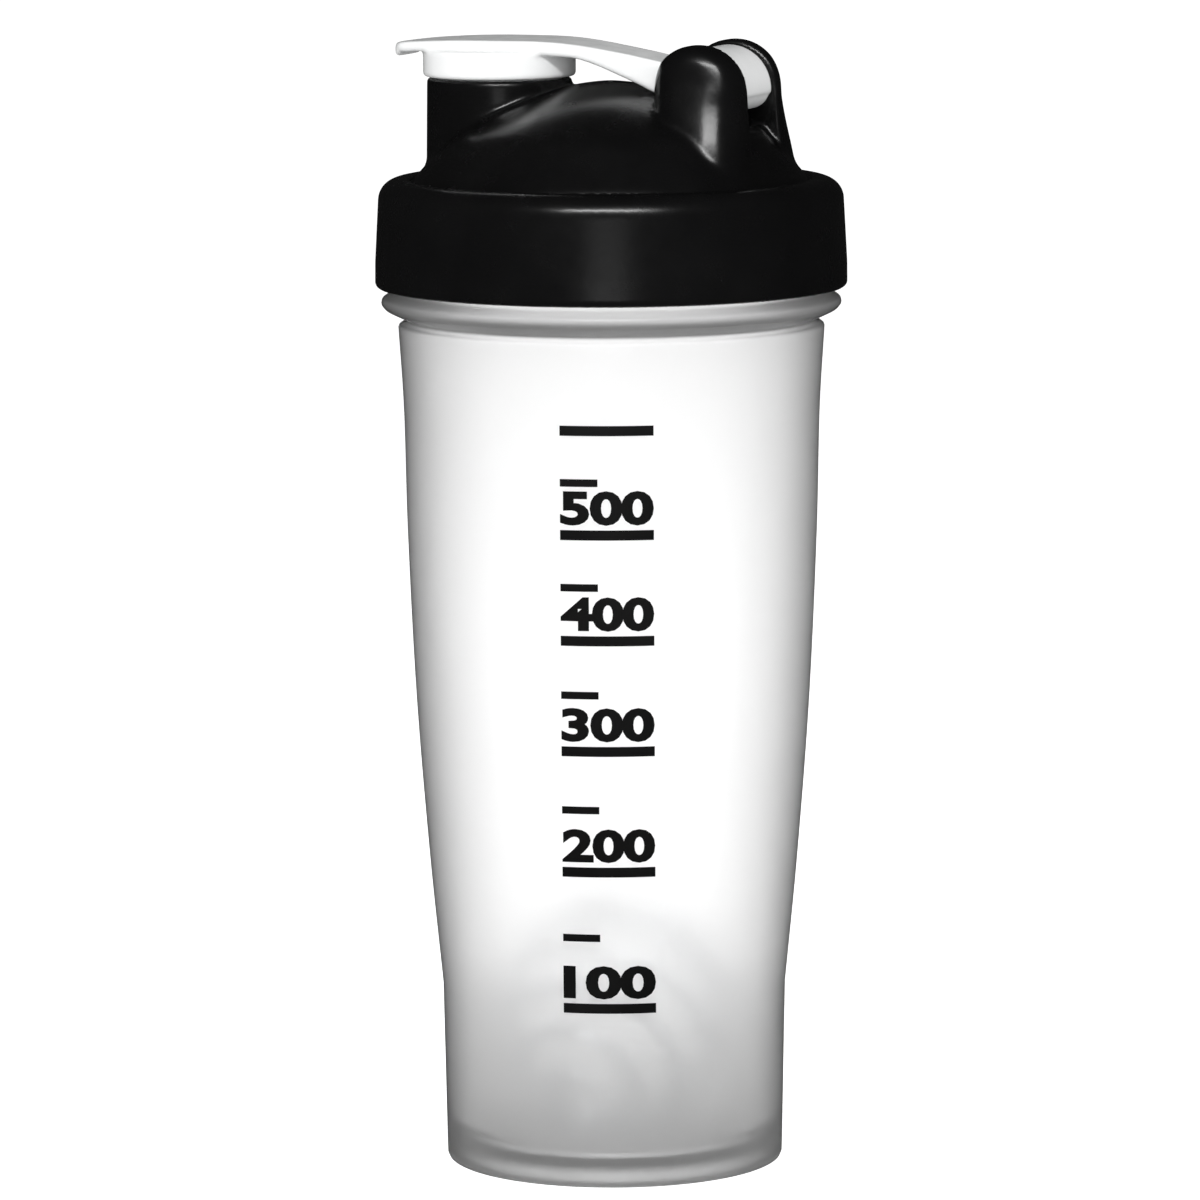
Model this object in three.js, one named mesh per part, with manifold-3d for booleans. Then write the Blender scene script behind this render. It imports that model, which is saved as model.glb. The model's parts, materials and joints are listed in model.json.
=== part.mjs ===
// Mixer bottle for powdered drinks: a tapered cup, a screw lid with a domed top, an upright drinking
// spout and two hinge ears, a flip cap that plugs the spout, a sealing ring and a loose wire whisk ball.
// Millimetres, +Z up. The origin is the centre of the foot on the table. The spout is towards -X and
// the cap's hinge towards +X, with the hinge axis along Y.
import * as THREE from "three";
import { mergeVertices } from "three/addons/utils/BufferGeometryUtils.js";
import Module from "manifold-3d";

const wasm = await Module();
wasm.setup();

// ---- driving dimensions ----
const SEGMENTS = 48;
const HINGE_SEGMENTS = 36;
const GAP = 0.3;

const FOOT_RADIUS = 34.1;
const FOOT_WIDTH = 3.6;
const RECESS = 3.2;
const FLOOR_TOP = 5.2;
const WAIST_Z = 36;
const SHOULDER_RADIUS = 42.9;
const SHOULDER_Z = 170.5;
const GROOVE_RADIUS = 41.0;
const BEAD_RADIUS = 46.3;
const BEAD_Z = 174.9;
const NECK_OUTER = 42.6;
const NECK_INNER = 40.0;
const RIM_Z = 194.6;

const THREAD_LEAD = 6;
const THREAD_TURNS = 1.25;
const THREAD_BEAD = 1.3;
const THREAD_START_Z = 181.0;

const LID_BOTTOM_Z = 178.0;
const LID_RADIUS = 47.5;
const LID_TOP_RADIUS = 46.8;
const LID_TOP_Z = 199.8;
const LID_CORNER = 4.3;
const LID_BORE = 44.7;
const LID_CEILING_Z = 196.8;
const PLUG_RING_OUTER = 39.6;
const PLUG_RING_BOTTOM_Z = 187.5;

const DOME_RADIUS = 39.6;
const DOME_BASE_Z = 199.3;
const DOME_HEIGHT = 20.0;
const DOME_POWER = 1.6;
const DOME_WALL = 2.2;
const DOME_FOOT_SLOPE = 0.9;

const SPOUT_X = -23.8;
const SPOUT_RADIUS = 14.6;
const SPOUT_BORE = 12.9;
const SPOUT_TOP_Z = 219.5;

const HINGE_X = 22.5;
const HINGE_Z = 217.6;
const EAR_RADIUS = 9.8;
const EAR_INNER_Y = 9.0;
const EAR_FOOT_Z = DOME_BASE_Z - 3;
const EAR_TOP_Z = HINGE_Z + EAR_RADIUS;
const KNUCKLE_RADIUS = 8.8;
const KNUCKLE_FLAT_Z = 213.9;
const SADDLE_RADIUS = 9.3;
const SADDLE_WALL = 2.2;
const STUB_RADIUS = 3.0;
const STUB_LENGTH = 2.2;
const SOCKET_CLEARANCE = 0.1;

const CAP_DISC_RADIUS = 15.4;
const CAP_DISC_TOP_Z = 225.2;
const CAP_PLUG_DEPTH = 3.3;
const ARM_HALF_WIDTH = 7.8;
const CAP_TIP_X = -45.3;
const CAP_TOP_Z = 227.5;

const BALL_RADIUS = 24;
const BALL_WIRE = 1.0;
const BALL_TURNS = 7;
const BALL_TILT = [0.6, 0.35, 0];

// ---- materials ----
const plastic = (color, roughness, extra = {}) =>
  new THREE.MeshStandardMaterial({ color, roughness, metalness: 0, ...extra });
const frostedClear = plastic(0xe9ecec, 0.4, { transparent: true, opacity: 0.55 });
const glossBlack = plastic(0x0c0c0d, 0.25);
const glossWhite = plastic(0xf1f2f1, 0.3);
const greySilicone = plastic(0xd9dbd9, 0.6);
const steelWire = new THREE.MeshStandardMaterial({ color: 0xc8cacc, roughness: 0.2, metalness: 1 });

// ---- solids ----
function solidOf(geometry) {
  const bare = geometry.clone();
  bare.deleteAttribute("normal");
  bare.deleteAttribute("uv");
  const merged = mergeVertices(bare, 1e-4);
  const vertProperties = merged.attributes.position.array;
  const triVerts = new Uint32Array(merged.index.array);
  return new wasm.Manifold(new wasm.Mesh({ numProp: 3, vertProperties, triVerts }));
}

function meshOf(name, solid, material) {
  const made = solid.getMesh();
  const geometry = new THREE.BufferGeometry();
  geometry.setAttribute("position", new THREE.BufferAttribute(made.vertProperties, 3));
  geometry.setIndex(new THREE.BufferAttribute(made.triVerts, 1));
  geometry.computeVertexNormals();
  const mesh = new THREE.Mesh(geometry, material);
  mesh.name = name;
  return mesh;
}

// A profile of [radius, z] pairs, from the axis back to the axis or closed, turned about Z.
function turned(profile) {
  const points = profile.map(([radius, z]) => new THREE.Vector2(radius, z));
  const geometry = new THREE.LatheGeometry(points, SEGMENTS);
  geometry.rotateX(Math.PI / 2);
  return solidOf(geometry);
}

// An upright cylinder on an axis parallel to Z.
function upright(x, radius, lowZ, highZ) {
  return turned([[0, lowZ], [radius, lowZ], [radius, highZ], [0, highZ]]).translate([x, 0, 0]);
}

// An outline of [x, z] pairs, seen from -Y, made as thick as the stretch from lowY to highY.
function acrossY(outline, lowY, highY) {
  const shape = new THREE.Shape(outline.map(([x, z]) => new THREE.Vector2(x, z)));
  const geometry = new THREE.ExtrudeGeometry(shape, { depth: highY - lowY, bevelEnabled: false });
  geometry.rotateX(Math.PI / 2);
  geometry.translate(0, highY, 0);
  return solidOf(geometry);
}

// An outline of [y, z] pairs, seen from +X, from lowX to highX.
function acrossX(outline, lowX, highX) {
  const shape = new THREE.Shape(outline.map(([y, z]) => new THREE.Vector2(y, z)));
  const geometry = new THREE.ExtrudeGeometry(shape, { depth: highX - lowX, bevelEnabled: false });
  geometry.rotateX(Math.PI / 2);
  geometry.rotateZ(Math.PI / 2);
  geometry.translate(lowX, 0, 0);
  return solidOf(geometry);
}

// An outline of [x, y] pairs, seen from above, from lowZ to highZ.
function acrossZ(outline, lowZ, highZ) {
  const shape = new THREE.Shape(outline.map(([x, y]) => new THREE.Vector2(x, y)));
  const geometry = new THREE.ExtrudeGeometry(shape, { depth: highZ - lowZ, bevelEnabled: false });
  geometry.translate(0, 0, lowZ);
  return solidOf(geometry);
}

// Points of an arc in degrees about [cx, cy], both ends included.
function arc(cx, cy, radius, fromDeg, toDeg, steps) {
  return Array.from({ length: steps + 1 }, (_, i) => {
    const angle = THREE.MathUtils.degToRad(fromDeg + ((toDeg - fromDeg) * i) / steps);
    return [cx + radius * Math.cos(angle), cy + radius * Math.sin(angle)];
  });
}

// A cylinder about the hinge axis, from lowY to highY.
const aboutHinge = (radius, lowY, highY) =>
  acrossY(arc(HINGE_X, HINGE_Z, radius, 0, 360, HINGE_SEGMENTS).slice(0, -1), lowY, highY);

// A smooth curve through [radius, z] pairs.
const smooth = (pairs, steps) =>
  new THREE.SplineCurve(pairs.map(([radius, z]) => new THREE.Vector2(radius, z)))
    .getPoints(steps)
    .map((p) => [p.x, p.y]);

// The dome's generating curve, grown by an offset, from its base to its top. Near its base it follows
// a cone that cuts off the bulge of the rounder curve above.
function domeCurve(offset, steps) {
  const coneRadius = DOME_RADIUS + offset * Math.hypot(1, DOME_FOOT_SLOPE);
  return Array.from({ length: steps + 1 }, (_, i) => {
    const angle = (Math.PI / 2) * (i / steps);
    const across = Math.max(Math.cos(angle), 0) ** (2 / DOME_POWER);
    const z = DOME_BASE_Z + (DOME_HEIGHT + offset) * Math.sin(angle) ** (2 / DOME_POWER);
    const cone = coneRadius - DOME_FOOT_SLOPE * (z - LID_TOP_Z);
    return [i === steps ? 0 : Math.min((DOME_RADIUS + offset) * across, cone), z];
  });
}

// The centre line of a right-handed thread ridge, rising from startZ at startAngle.
class Helix extends THREE.Curve {
  constructor(radius, startZ, startAngle) {
    super();
    Object.assign(this, { radius, startZ, startAngle });
  }
  getPoint(t, target = new THREE.Vector3()) {
    const angle = this.startAngle + 2 * Math.PI * THREAD_TURNS * t;
    const z = this.startZ + THREAD_LEAD * THREAD_TURNS * t;
    return target.set(this.radius * Math.cos(angle), this.radius * Math.sin(angle), z);
  }
}

function swept(path, radius, sides, steps) {
  const section = new THREE.Shape();
  section.absarc(0, 0, radius, 0, 2 * Math.PI, false);
  // A full circle is drawn with two points for each curve segment.
  const options = { steps, extrudePath: path, bevelEnabled: false, curveSegments: sides / 2 };
  return solidOf(new THREE.ExtrudeGeometry(section, options));
}

const threadRidge = (radius, startZ, startAngle) =>
  swept(new Helix(radius, startZ, startAngle), THREAD_BEAD, 8, Math.round(SEGMENTS * THREAD_TURNS));

// ---- cup ----
function cup() {
  const outerWall = smooth(
    [[34.8, WAIST_Z], [37.4, 63], [39.8, 95], [41.3, 128], [41.9, 153], [SHOULDER_RADIUS, SHOULDER_Z]],
    10,
  );
  const innerWall = smooth(
    [[NECK_INNER, RIM_Z - 0.8], [39.3, 153], [39.0, 128], [37.5, 95], [32.4, WAIST_Z]],
    8,
  );
  const footInner = FOOT_RADIUS - FOOT_WIDTH - 0.8;
  const shell = turned([
    [0, RECESS],
    [footInner - 1.2, RECESS],
    [footInner, 0],
    [FOOT_RADIUS - 0.8, 0],
    [FOOT_RADIUS, 0.8],
    ...outerWall,
    [GROOVE_RADIUS, SHOULDER_Z + 0.9],
    [GROOVE_RADIUS + 0.8, SHOULDER_Z + 1.8],
    [BEAD_RADIUS - 1.6, BEAD_Z - 1.6],
    [BEAD_RADIUS, BEAD_Z],
    [BEAD_RADIUS - 0.6, BEAD_Z + 1.2],
    [NECK_OUTER + 1, BEAD_Z + 2.1],
    [NECK_OUTER, BEAD_Z + 3.1],
    [NECK_OUTER, RIM_Z - 0.6],
    [NECK_OUTER - 0.6, RIM_Z],
    [NECK_INNER + 0.6, RIM_Z],
    ...innerWall,
    [31.4, FLOOR_TOP + 3],
    [29.6, FLOOR_TOP + 0.7],
    [27.5, FLOOR_TOP],
    [0, FLOOR_TOP],
  ]);
  const ridge = threadRidge(NECK_OUTER + 0.1, THREAD_START_Z, 0);
  return meshOf("cup", shell.add(ridge), frostedClear);
}

// ---- lid ----
// Everything inside the lid's dome and sealing collar: what no spout wall or ear may fill.
const domeInside = turned([
  [0, LID_BOTTOM_Z - 2],
  [DOME_RADIUS - DOME_WALL, LID_BOTTOM_Z - 2],
  ...domeCurve(-DOME_WALL, 10),
]);

function lidShell() {
  const draft = (LID_RADIUS - LID_TOP_RADIUS) / (LID_TOP_Z - LID_CORNER - LID_BOTTOM_Z);
  return turned([
    ...domeCurve(-DOME_WALL, 8).reverse(),
    [DOME_RADIUS - DOME_WALL, PLUG_RING_BOTTOM_Z + 0.6],
    [DOME_RADIUS - DOME_WALL + 0.6, PLUG_RING_BOTTOM_Z],
    [PLUG_RING_OUTER - 0.6, PLUG_RING_BOTTOM_Z],
    [PLUG_RING_OUTER, PLUG_RING_BOTTOM_Z + 1.2],
    [PLUG_RING_OUTER, LID_CEILING_Z],
    [LID_BORE, LID_CEILING_Z],
    [LID_BORE, LID_BOTTOM_Z + 0.8],
    [LID_BORE + 0.5, LID_BOTTOM_Z],
    [LID_RADIUS - 0.9, LID_BOTTOM_Z],
    [LID_RADIUS, LID_BOTTOM_Z + 1.1],
    [LID_RADIUS - draft * 4, LID_BOTTOM_Z + 5],
    ...arc(LID_TOP_RADIUS - LID_CORNER, LID_TOP_Z - LID_CORNER, LID_CORNER, 0, 90, 4),
    [DOME_RADIUS + 0.9, LID_TOP_Z],
    [DOME_RADIUS, DOME_BASE_Z - 0.4],
    ...domeCurve(0, 12),
  ]);
}

// One hinge ear, on the side of the sign: an arch seen from the side, that swells outward as it runs
// down into the dome and is round where it stands on the lid.
function ear(side) {
  const arch = [
    [HINGE_X - EAR_RADIUS, EAR_FOOT_Z],
    [HINGE_X + EAR_RADIUS + 3, EAR_FOOT_Z],
    [HINGE_X + EAR_RADIUS + 1.3, 205.6],
    [HINGE_X + EAR_RADIUS + 0.3, 213],
    ...arc(HINGE_X, HINGE_Z, EAR_RADIUS, 0, 180, 14),
  ];
  const swell = [
    [EAR_INNER_Y, EAR_FOOT_Z],
    [23, EAR_FOOT_Z],
    [22.8, 203],
    [22.3, 205.5],
    [21.6, 207.7],
    [20.6, 210.5],
    [19.3, 213.2],
    [18.2, 215.5],
    [17.3, 218.5],
    [16.6, 221],
    [15.4, 224],
    [13.2, EAR_TOP_Z - 1],
    [11.5, EAR_TOP_Z + 1],
    [EAR_INNER_Y, EAR_TOP_Z + 1],
  ];
  const footprint = [
    [13.4, EAR_INNER_Y - 1],
    [37.2, EAR_INNER_Y - 1],
    [37.2, 10.5],
    [36.2, 14.5],
    [34, 18.6],
    [30.5, 21.4],
    [26.5, 22.4],
    [22, 21.2],
    [18.4, 18.8],
    [15.2, 15.4],
    [13.4, 11.5],
  ];
  const lobe = acrossY(arch, 0, LID_RADIUS)
    .intersect(acrossX(swell, 0, LID_RADIUS))
    .intersect(acrossZ(footprint, EAR_FOOT_Z, CAP_TOP_Z))
    .intersect(upright(0, DOME_RADIUS - 0.2, EAR_FOOT_Z, CAP_TOP_Z));
  const socketDepth = EAR_INNER_Y + STUB_LENGTH + GAP;
  const socket = aboutHinge(STUB_RADIUS + SOCKET_CLEARANCE, EAR_INNER_Y - 1, socketDepth);
  const made = lobe.subtract(domeInside).subtract(socket);
  return side < 0 ? made.mirror([0, 1, 0]) : made;
}

function lid() {
  const spout = upright(SPOUT_X, SPOUT_RADIUS, DOME_BASE_Z, SPOUT_TOP_Z).subtract(domeInside);
  const bore = upright(SPOUT_X, SPOUT_BORE, DOME_BASE_Z - 4, SPOUT_TOP_Z + 2);
  const domeOutside = turned([[0, DOME_BASE_Z - 2], ...domeCurve(0, 12)]);
  const saddleWall = aboutHinge(SADDLE_RADIUS + SADDLE_WALL, -EAR_INNER_Y - 1, EAR_INNER_Y + 1);
  const saddle = aboutHinge(SADDLE_RADIUS, -EAR_INNER_Y, EAR_INNER_Y);
  const ridgeStart = THREAD_START_Z - THREAD_LEAD / 2;
  const startAngle = Math.PI * 0.85;
  const ridge = threadRidge(
    LID_BORE - 0.1,
    ridgeStart + (THREAD_LEAD * startAngle) / (2 * Math.PI),
    startAngle,
  );
  const whole = lidShell()
    .add(spout)
    .add(ear(1))
    .add(ear(-1))
    .add(saddleWall.intersect(domeOutside))
    .subtract(saddle)
    .subtract(bore)
    .add(ridge);
  return meshOf("lid", whole, glossBlack);
}

// ---- sealing ring, laid between the cup's rim and the lid's ceiling ----
function lidSeal() {
  const [low, high] = [RIM_Z + GAP, LID_CEILING_Z - GAP];
  const [inner, outer] = [PLUG_RING_OUTER + GAP, LID_BORE - GAP];
  const ring = [[inner, low], [outer, low], [outer, high], [inner, high], [inner, low]];
  return meshOf("lid_seal", turned(ring), greySilicone);
}

// ---- flip cap ----
function flipCap() {
  const side = [
    [CAP_TIP_X + 0.3, 223.7],
    [CAP_TIP_X + 1.6, 223.7],
    [CAP_TIP_X + 2.7, 224.6],
    [-31.1, CAP_DISC_TOP_Z],
    [-9.5, 224.5],
    [-2.8, 223.6],
    [7, 219.7],
    [12.3, 217.2],
    [HINGE_X - 6, 216],
    [HINGE_X - 6, 223.8],
    [14.6, 223.3],
    [5.9, 225.1],
    [-3.9, 226.6],
    [-11.6, CAP_TOP_Z],
    [-30.1, CAP_TOP_Z],
    [-38.3, 227.1],
    [CAP_TIP_X + 0.7, 226.7],
    [CAP_TIP_X, 226.1],
  ];
  const nearEdge = [
    [CAP_TIP_X, -2.5],
    [CAP_TIP_X + 1.2, -5.5],
    [CAP_TIP_X + 4.1, -8],
    [-34.5, -10.4],
    [-24, -11.5],
    [-13.7, -10.8],
    [-3.4, -8.8],
    [7, -ARM_HALF_WIDTH],
    [HINGE_X, -ARM_HALF_WIDTH],
  ];
  const plan = [...nearEdge, ...nearEdge.map(([x, y]) => [x, -y]).reverse()];
  const domeClearance = turned([[0, DOME_BASE_Z - 2], ...domeCurve(2 * GAP, 12)]);
  const arm = acrossY(side, -CAP_DISC_RADIUS, CAP_DISC_RADIUS)
    .intersect(acrossZ(plan, HINGE_Z - KNUCKLE_RADIUS, CAP_TOP_Z + 1))
    .subtract(domeClearance);
  const disc = upright(SPOUT_X, CAP_DISC_RADIUS, SPOUT_TOP_Z + GAP, CAP_DISC_TOP_Z + 0.3);
  const plug = upright(SPOUT_X, SPOUT_BORE - GAP, SPOUT_TOP_Z - CAP_PLUG_DEPTH, SPOUT_TOP_Z + 1);
  const halfLength = EAR_INNER_Y - GAP;
  const flatAngle = THREE.MathUtils.radToDeg(Math.asin((HINGE_Z - KNUCKLE_FLAT_Z) / KNUCKLE_RADIUS));
  const round = arc(HINGE_X, HINGE_Z, KNUCKLE_RADIUS, -flatAngle, 180 + flatAngle, 28);
  const knuckle = acrossY(round, -halfLength, halfLength);
  const stub = aboutHinge(STUB_RADIUS, -EAR_INNER_Y - STUB_LENGTH, EAR_INNER_Y + STUB_LENGTH);
  return meshOf("flip_cap", arm.add(disc).add(plug).add(knuckle).add(stub), glossWhite);
}

// ---- whisk ball: one wire wound from pole to pole on a sphere ----
class BallWire extends THREE.Curve {
  getPoint(t, target = new THREE.Vector3()) {
    const fromPole = Math.PI * (0.05 + 0.9 * t);
    const around = 2 * Math.PI * BALL_TURNS * t;
    const radius = BALL_RADIUS - BALL_WIRE;
    return target.setFromSphericalCoords(radius, fromPole, around);
  }
}

function whiskBall() {
  const wire = swept(new BallWire(), BALL_WIRE, 6, BALL_TURNS * 18);
  const mesh = meshOf("whisk_ball", wire, steelWire);
  mesh.rotation.set(...BALL_TILT);
  mesh.position.set(0, 0, FLOOR_TOP + GAP + BALL_RADIUS);
  return mesh;
}

const bottle = new THREE.Group();
bottle.add(cup(), lid(), lidSeal(), flipCap(), whiskBall());

export default bottle;
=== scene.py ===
"""A frosted shaker bottle with a black screw lid and a white flip cap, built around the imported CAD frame.

Shapes are worked out in millimetres in the frame's own axes, +Z up, spout towards -X and hinge towards +X,
and turned into metres when a mesh is made. The lid and the flip cap are blended solids: a signed distance
field is written for each, and a fine mesh is drawn on its zero surface. The cup, the sealing ring and the
whisk ball are turned or swept.
"""

import itertools
import json
import math

import bmesh
import bpy
import numpy as np
from mathutils import Euler, Matrix, Vector


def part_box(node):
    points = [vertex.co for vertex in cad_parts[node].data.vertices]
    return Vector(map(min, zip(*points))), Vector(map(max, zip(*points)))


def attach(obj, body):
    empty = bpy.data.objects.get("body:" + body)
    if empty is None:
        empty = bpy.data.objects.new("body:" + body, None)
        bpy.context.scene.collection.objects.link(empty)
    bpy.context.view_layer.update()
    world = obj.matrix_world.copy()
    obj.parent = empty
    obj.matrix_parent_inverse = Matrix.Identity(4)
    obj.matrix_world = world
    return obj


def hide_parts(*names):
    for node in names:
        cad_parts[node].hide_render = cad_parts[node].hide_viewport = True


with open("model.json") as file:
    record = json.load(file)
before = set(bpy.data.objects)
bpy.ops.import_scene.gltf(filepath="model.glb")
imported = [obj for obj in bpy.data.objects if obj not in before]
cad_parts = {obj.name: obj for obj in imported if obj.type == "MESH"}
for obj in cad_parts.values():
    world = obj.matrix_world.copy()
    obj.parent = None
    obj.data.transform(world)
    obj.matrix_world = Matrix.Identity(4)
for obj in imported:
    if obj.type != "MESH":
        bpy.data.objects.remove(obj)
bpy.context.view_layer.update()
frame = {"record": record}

MM = 0.001


def box_mm(node):
    """The lowest and highest corner of a CAD node, in millimetres."""
    return [np.array(corner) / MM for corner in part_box(node)]


# ---- driving sizes, read from the frame ----
cup_high = box_mm("cup")[1]
lid_low, lid_high = box_mm("lid")
cap_low, cap_high = box_mm("flip_cap")
seal_low, seal_high = box_mm("lid_seal")
hinge = next(j for j in frame["record"]["behaviour"]["joints"] if j["name"] == "flip_cap_hinge")
HINGE_X, HINGE_Z = hinge["pos_m"][0] / MM, hinge["pos_m"][2] / MM

RIM_Z = cup_high[2]
BEAD_RADIUS = cup_high[0]
LID_RADIUS = lid_high[0]
LID_BOTTOM_Z = lid_low[2]
LID_CEILING_Z = seal_high[2] + 0.3
LID_BORE = seal_high[0] + 0.3

# ---- sizes that the cup, lid and cap share with the CAD ----
FOOT_RADIUS = 34.1
FOOT_RECESS = 3.2
FLOOR_TOP = 5.2
SHOULDER_RADIUS = 42.9
SHOULDER_Z = 170.5
GROOVE_RADIUS = 41.2
BEAD_Z = 174.9
NECK_OUTER = 42.6
NECK_INNER = 40.0
THREAD_LEAD = 6.0
THREAD_TURNS = 1.25
THREAD_BEAD = 1.3
THREAD_START_Z = 181.0
LID_TOP_RADIUS = 46.8
LID_TOP_Z = 199.8
LID_CORNER = 4.3
PLUG_RING_OUTER = 39.6
PLUG_RING_BOTTOM_Z = 187.5
DOME_RADIUS = 39.6
DOME_BASE_Z = 199.3
DOME_HEIGHT = 20.0
DOME_POWER = 1.6
DOME_WALL = 2.2
DOME_FOOT_SLOPE = 0.9
SPOUT_X = -23.8
SPOUT_RADIUS = 14.6
SPOUT_BORE = 12.9
SPOUT_TOP_Z = 219.5
EAR_RADIUS = 9.8
EAR_INNER_Y = 9.0
EAR_BULGE = 0.013
KNUCKLE_RADIUS = 8.8
SADDLE_RADIUS = 9.3
SADDLE_WALL = 2.2
STUB_RADIUS = 3.0
CAP_DISC_RADIUS = 15.4
CAP_DISC_TOP_Z = 225.4
CAP_PLUG_LOW_Z = SPOUT_TOP_Z - 3.3
CAP_TIP_X = cap_low[0]
CAP_TOP_Z = cap_high[2]
BALL_RADIUS = 24.0
BALL_WIRE = 1.0
BALL_TURNS = 7
BALL_TILT = (0.6, 0.35)

LID_PITCH = 0.7
CAP_PITCH = 0.45
FIELD_MARGIN = 1.5


# ---- blending ----
def join(a, b, soft=None):
    """Union of two fields, with a fillet of about the given size."""
    if soft is None:
        return np.minimum(a, b)
    h = np.maximum(soft - np.abs(a - b), 0) / soft
    return np.minimum(a, b) - h * h * soft / 4


def cut(a, b, soft=None):
    """The part of a outside b, with a rounded edge."""
    return -join(-a, b, soft)


def meet(a, b, soft=None):
    """The part that a and b share, with a rounded edge."""
    return -join(-a, -b, soft)


# ---- curves ----
def arc(cx, cy, radius, from_deg, to_deg, steps):
    """Points of an arc about (cx, cy), both ends included."""
    angles = np.radians(np.linspace(from_deg, to_deg, steps + 1))
    return [(cx + radius * math.cos(a), cy + radius * math.sin(a)) for a in angles]


def smooth(points, steps):
    """A Catmull-Rom curve through the points, with the given steps between each two."""
    pts = np.array(points, float)
    padded = np.vstack([2 * pts[0] - pts[1], pts, 2 * pts[-1] - pts[-2]])
    out = []
    for i in range(1, len(padded) - 2):
        p0, p1, p2, p3 = padded[i - 1 : i + 3]
        for t in np.arange(steps) / steps:
            a = 2 * p1 + (p2 - p0) * t
            b = (2 * p0 - 5 * p1 + 4 * p2 - p3) * t * t
            c = (3 * p1 - p0 - 3 * p2 + p3) * t ** 3
            out.append(tuple((a + b + c) / 2))
    return out + [tuple(pts[-1])]


def dome_curve(offset, steps):
    """The dome's generating curve from its foot to its top, grown by an offset. The foot is a cone."""
    out = []
    cone_radius = DOME_RADIUS + offset * math.hypot(1, DOME_FOOT_SLOPE)
    for angle in np.linspace(0, math.pi / 2, steps + 1):
        radius = (DOME_RADIUS + offset) * max(math.cos(angle), 0) ** (2 / DOME_POWER)
        z = DOME_BASE_Z + (DOME_HEIGHT + offset) * math.sin(angle) ** (2 / DOME_POWER)
        cone = cone_radius - DOME_FOOT_SLOPE * (z - LID_TOP_Z)
        out.append((float(join(radius, cone, 0.8)) if angle else radius, z))
    return out


def thread_distance(x, y, z, radius, start_z, start_angle):
    """Distance from points to the thread's centre line, and how far along it they are, from 0 to 1."""
    angle = np.arctan2(y, x)
    best = np.full(np.shape(x), 1e3)
    share = np.zeros(np.shape(x))
    for turn in range(3):
        run = np.mod(angle - start_angle, 2 * math.pi) + 2 * math.pi * turn
        centre_z = start_z + THREAD_LEAD * run / (2 * math.pi)
        away = np.hypot(np.hypot(x, y) - radius, z - centre_z)
        along = run / (2 * math.pi * THREAD_TURNS)
        away = np.where(along > 1, 1e3, away)
        closer = away < best
        best = np.where(closer, away, best)
        share = np.where(closer, along, share)
    return best, share


def thread_taper(share):
    """The ridge grows out of the wall at its start and sinks back at its end."""
    ends = np.minimum(share, 1 - share) / 0.06
    return np.clip(ends, 0, 1)


# ---- signed distance fields ----
class Profile:
    """Signed distance to a closed outline, negative inside, read from a fine table."""

    PITCH, MARGIN = 0.12, 5.0

    def __init__(self, outline):
        pts = np.array(outline, float)
        nxt = np.roll(pts, -1, axis=0)
        keep = np.hypot(*(nxt - pts).T) > 1e-9
        start, end = pts[keep], nxt[keep]
        self.low = pts.min(0) - self.MARGIN
        self.count = np.ceil((pts.max(0) + self.MARGIN - self.low) / self.PITCH).astype(int) + 1
        a = self.low[0] + self.PITCH * np.arange(self.count[0])
        b = self.low[1] + self.PITCH * np.arange(self.count[1])
        grid_a, grid_b = np.meshgrid(a, b, indexing="ij")
        nearest = np.full(grid_a.shape, 1e9)
        inside = np.zeros(grid_a.shape, bool)
        for (ax, ay), (bx, by) in zip(start, end):
            dx, dy = bx - ax, by - ay
            t = ((grid_a - ax) * dx + (grid_b - ay) * dy) / (dx * dx + dy * dy)
            t = np.clip(t, 0, 1)
            away = (grid_a - ax - t * dx) ** 2 + (grid_b - ay - t * dy) ** 2
            nearest = np.minimum(nearest, away)
            if ay != by:
                crosses = (ay > grid_b) != (by > grid_b)
                inside ^= crosses & (grid_a < dx * (grid_b - ay) / dy + ax)
        self.table = np.where(inside, -1, 1) * np.sqrt(nearest)

    def __call__(self, a, b):
        u = (a - self.low[0]) / self.PITCH
        v = (b - self.low[1]) / self.PITCH
        cu = np.clip(u, 0, self.count[0] - 1.001)
        cv = np.clip(v, 0, self.count[1] - 1.001)
        i, j = cu.astype(int), cv.astype(int)
        fu, fv = cu - i, cv - j
        t = self.table
        near = t[i, j] * (1 - fu) + t[i + 1, j] * fu
        far = t[i, j + 1] * (1 - fu) + t[i + 1, j + 1] * fu
        outside = np.hypot(u - cu, v - cv) * self.PITCH
        return near * (1 - fv) + far * fv + outside


def slab(v, low, high):
    return np.maximum(low - v, v - high)


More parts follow.
